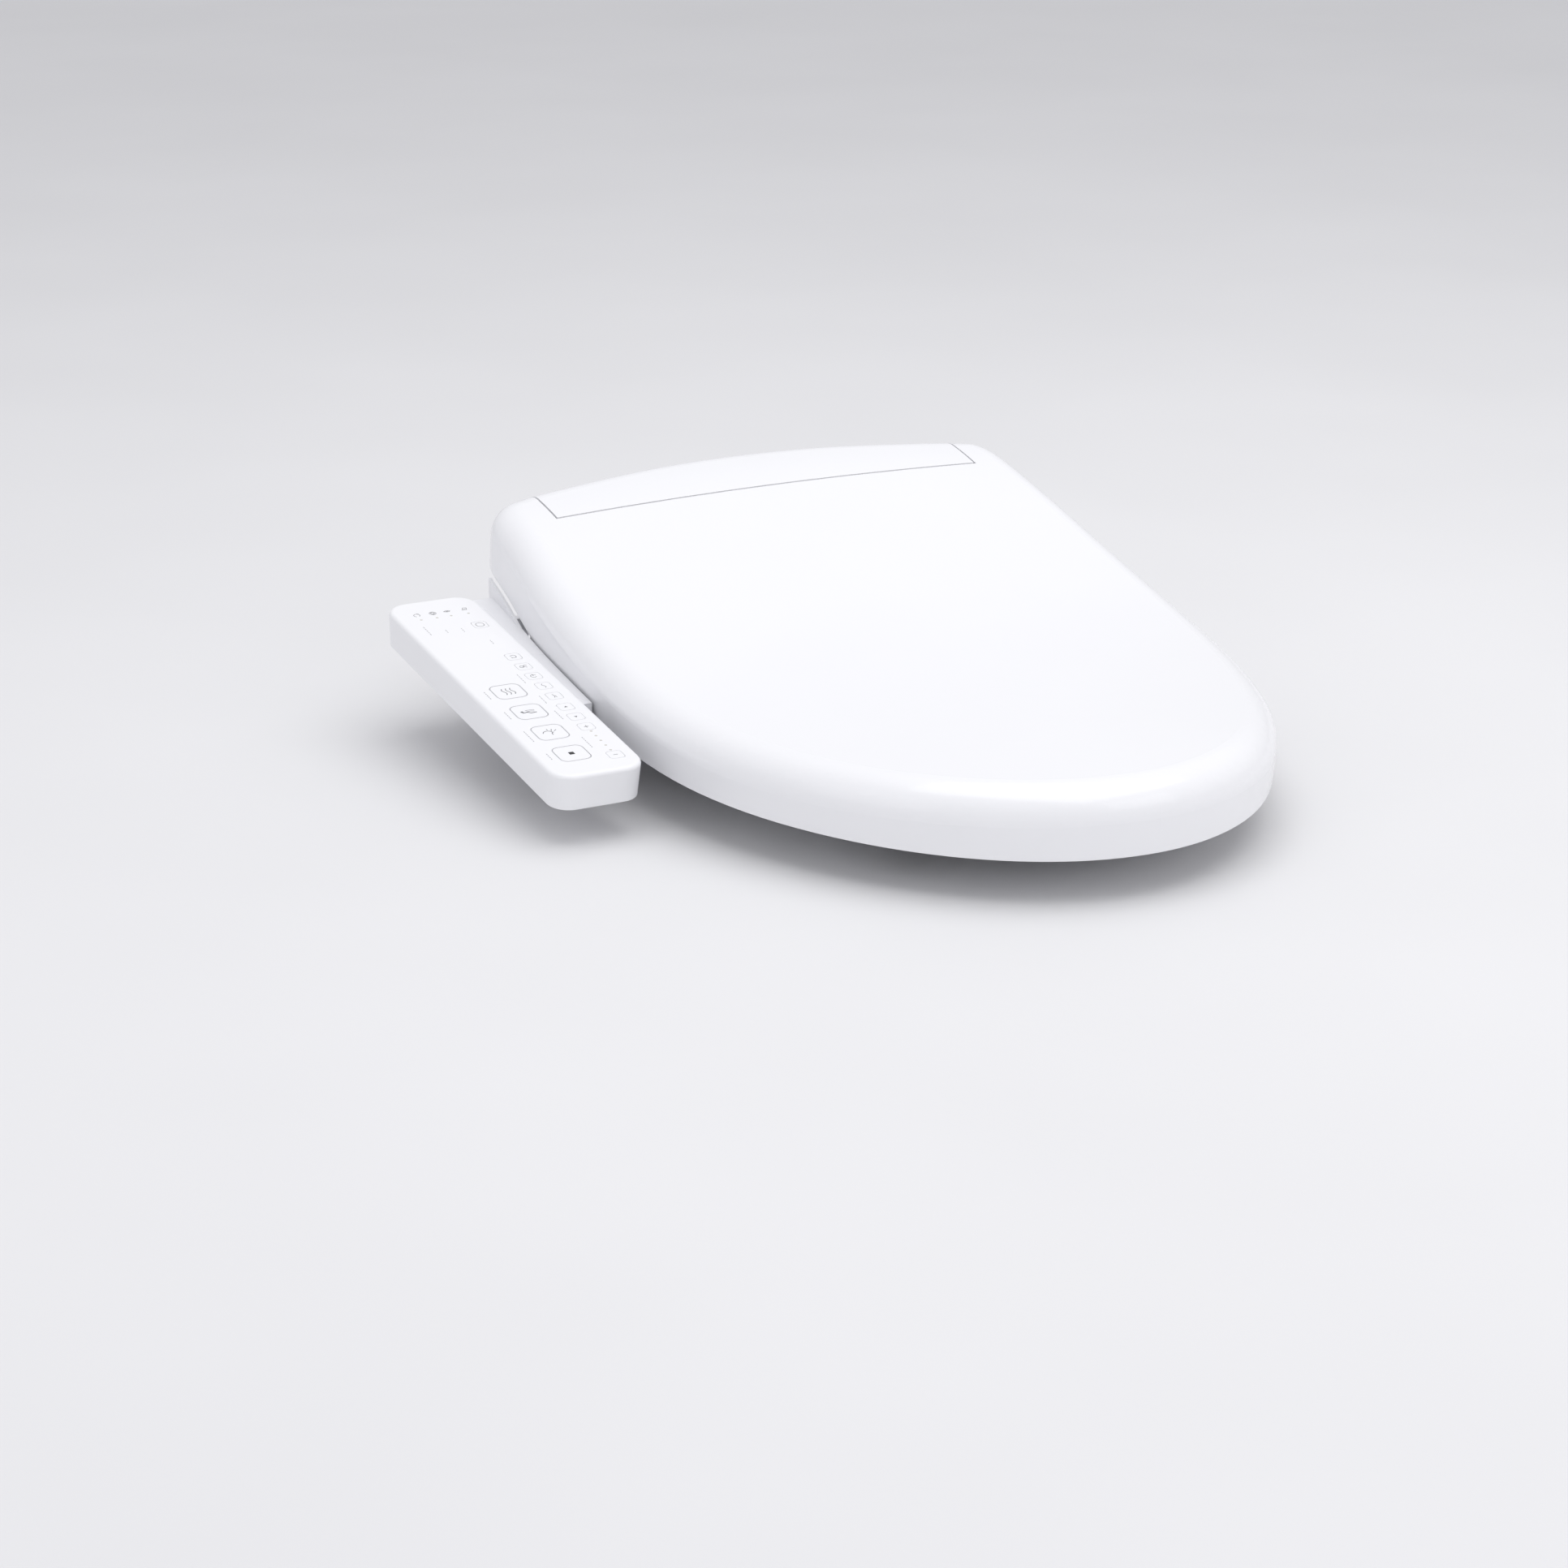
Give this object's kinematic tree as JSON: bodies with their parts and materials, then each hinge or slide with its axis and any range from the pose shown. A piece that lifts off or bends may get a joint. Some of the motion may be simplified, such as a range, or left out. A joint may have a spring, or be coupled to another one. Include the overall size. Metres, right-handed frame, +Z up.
{
  "type": "electric bidet toilet seat",
  "caption": "Elongated heated toilet seat with soft-close lid, slide-out wash wand, warm-air dryer and a side arm carrying a sloping push-button control panel.",
  "frame": {"origin": "midway between the two seat bolt holes, on the plane of the bowl's deck", "axes": "+Z up, -Y towards the front of the seat, +X to the right seen from the front; the control panel is on -X"},
  "size_m": [0.4588, 0.5251, 0.1195],
  "materials": {
    "white_shell": "gloss",
    "white_case": "semi gloss",
    "white_panel": "satin",
    "white_key": "satin",
    "white_wand": "gloss",
    "grey_button": "satin",
    "grey_plastic": "fine moulded grain",
    "dark_plastic": "fine moulded grain",
    "grey_rubber": "matt",
    "foil": "brushed",
    "steel": "plated",
    "brass": "machined",
    "board": "coated board",
    "lens": "clear lens, unlit"
  },
  "bodies": {
    "unit": {"lower_case": "white_case", "upper_case": "white_shell", "front_fascia": "white_case", "case_screws": "steel", "hinge_pins": "steel", "seat_damper": "dark_plastic", "lid_damper": "dark_plastic", "heater_tank": "dark_plastic", "inlet_valve": "dark_plastic", "water_inlet_fitting": "brass", "inlet_filter_plug": "grey_plastic", "drain_plug": "grey_plastic", "power_gland": "dark_plastic", "dryer_fan_housing": "dark_plastic", "dryer_duct": "grey_plastic", "dryer_heater": "foil", "main_circuit_board": "board", "diverter_valve": "grey_plastic", "wand_cradle": "grey_plastic", "wand_motor": "steel", "base_plate": "grey_plastic", "bolt_adjusters": "grey_plastic", "bowl_pads": "grey_rubber", "panel_cover": "white_panel", "panel_back_plate": "white_panel", "panel_screws": "steel", "panel_circuit_board": "board", "key_mat": "grey_rubber", "indicator_lights": "lens"},
    "seat": {"seat_top_shell": "white_shell", "seat_bottom_shell": "white_case", "seat_heater": "foil", "seat_bumpers": "grey_rubber", "seat_hinge_arms": "white_case"},
    "lid": {"lid_shell": "white_shell", "lid_hinge_brackets": "white_case", "lid_bumpers": "grey_rubber"},
    "wand": {"wand_tube": "white_wand", "wand_tip": "white_wand"},
    "pinion": {"drive_pinion": "grey_plastic"},
    "fan": {"dryer_fan_rotor": "grey_plastic"},
    "flap": {"dryer_flap": "white_case"},
    "cartridge": {"deodorizer_cartridge": "white_case"},
    "release": {"release_button": "grey_button"},
    "stop_key": {"stop_button": "white_key"},
    "rear_wash_key": {"rear_wash_button": "white_key"},
    "front_wash_key": {"front_wash_button": "white_key"},
    "dryer_key": {"dryer_button": "white_key"},
    "pressure_down_key": {"pressure_down_button": "white_key"},
    "pressure_up_key": {"pressure_up_button": "white_key"},
    "position_back_key": {"position_back_button": "white_key"},
    "position_forward_key": {"position_forward_button": "white_key"},
    "pulsating_key": {"pulsating_button": "white_key"},
    "oscillating_key": {"oscillating_button": "white_key"},
    "air_heat_key": {"air_heat_button": "white_key"},
    "water_heat_key": {"water_heat_button": "white_key"},
    "seat_heat_key": {"seat_heat_button": "white_key"},
    "power_key": {"power_button": "white_key"}
  },
  "joints": [
    {"name": "seat_hinge", "type": "hinge", "parent": "unit", "child": "seat", "pos_m": [0, 0.03, 0.08], "axis": [-1, 0, 0], "range_deg": [0, 92]},
    {"name": "lid_hinge", "type": "hinge", "parent": "seat", "child": "lid", "pos_m": [0, 0.03, 0.08], "axis": [-1, 0, 0], "range_deg": [0, 104]},
    {"name": "wand_slide", "type": "slide", "parent": "unit", "child": "wand", "axis": [0, -0.9063, -0.4226], "range_m": [0, 0.08]},
    {"name": "pinion_spin", "type": "hinge", "parent": "unit", "child": "pinion", "pos_m": [0, -0.01179, 0.02703], "axis": [1, 0, 0], "range_deg": [0, 612]},
    {"name": "fan_spin", "type": "hinge", "parent": "unit", "child": "fan", "pos_m": [0.068, -0.002, 0.026], "axis": [0, 0, 1], "continuous": true},
    {"name": "flap_hinge", "type": "hinge", "parent": "unit", "child": "flap", "pos_m": [0.075, -0.059, 0.0358], "axis": [-1, 0, 0], "range_deg": [0, 60]},
    {"name": "cartridge_slide", "type": "slide", "parent": "unit", "child": "cartridge", "axis": [1, 0, 0], "range_m": [0, 0.045]},
    {"name": "release_press", "type": "slide", "parent": "unit", "child": "release", "axis": [-1, 0, 0], "range_m": [0, 0.003], "stiffness_N_per_m": 600, "springref_m": -0.003},
    {"name": "stop_press", "type": "slide", "parent": "unit", "child": "stop_key", "axis": [0, 0.1409, -0.99], "range_m": [0, 0.0008], "stiffness_N_per_m": 500, "springref_m": -0.001},
    {"name": "rear_wash_press", "type": "slide", "parent": "unit", "child": "rear_wash_key", "axis": [0, 0.1409, -0.99], "range_m": [0, 0.0008], "stiffness_N_per_m": 500, "springref_m": -0.001},
    {"name": "front_wash_press", "type": "slide", "parent": "unit", "child": "front_wash_key", "axis": [0, 0.1409, -0.99], "range_m": [0, 0.0008], "stiffness_N_per_m": 500, "springref_m": -0.001},
    {"name": "dryer_press", "type": "slide", "parent": "unit", "child": "dryer_key", "axis": [0, 0.1409, -0.99], "range_m": [0, 0.0008], "stiffness_N_per_m": 500, "springref_m": -0.001},
    {"name": "pressure_down_press", "type": "slide", "parent": "unit", "child": "pressure_down_key", "axis": [0, 0.1409, -0.99], "range_m": [0, 0.0008], "stiffness_N_per_m": 500, "springref_m": -0.001},
    {"name": "pressure_up_press", "type": "slide", "parent": "unit", "child": "pressure_up_key", "axis": [0, 0.1409, -0.99], "range_m": [0, 0.0008], "stiffness_N_per_m": 500, "springref_m": -0.001},
    {"name": "position_back_press", "type": "slide", "parent": "unit", "child": "position_back_key", "axis": [0, 0.1409, -0.99], "range_m": [0, 0.0008], "stiffness_N_per_m": 500, "springref_m": -0.001},
    {"name": "position_forward_press", "type": "slide", "parent": "unit", "child": "position_forward_key", "axis": [0, 0.1409, -0.99], "range_m": [0, 0.0008], "stiffness_N_per_m": 500, "springref_m": -0.001},
    {"name": "pulsating_press", "type": "slide", "parent": "unit", "child": "pulsating_key", "axis": [0, 0.1409, -0.99], "range_m": [0, 0.0008], "stiffness_N_per_m": 500, "springref_m": -0.001},
    {"name": "oscillating_press", "type": "slide", "parent": "unit", "child": "oscillating_key", "axis": [0, 0.1409, -0.99], "range_m": [0, 0.0008], "stiffness_N_per_m": 500, "springref_m": -0.001},
    {"name": "air_heat_press", "type": "slide", "parent": "unit", "child": "air_heat_key", "axis": [0, 0.1409, -0.99], "range_m": [0, 0.0008], "stiffness_N_per_m": 500, "springref_m": -0.001},
    {"name": "water_heat_press", "type": "slide", "parent": "unit", "child": "water_heat_key", "axis": [0, 0.1409, -0.99], "range_m": [0, 0.0008], "stiffness_N_per_m": 500, "springref_m": -0.001},
    {"name": "seat_heat_press", "type": "slide", "parent": "unit", "child": "seat_heat_key", "axis": [0, 0.1409, -0.99], "range_m": [0, 0.0008], "stiffness_N_per_m": 500, "springref_m": -0.001},
    {"name": "power_press", "type": "slide", "parent": "unit", "child": "power_key", "axis": [0, 0.1409, -0.99], "range_m": [0, 0.0008], "stiffness_N_per_m": 500, "springref_m": -0.001}
  ],
  "couplings": [
    {"joint": "pinion_spin", "follows": "wand_slide", "rad_per_m": 133.33}
  ]
}
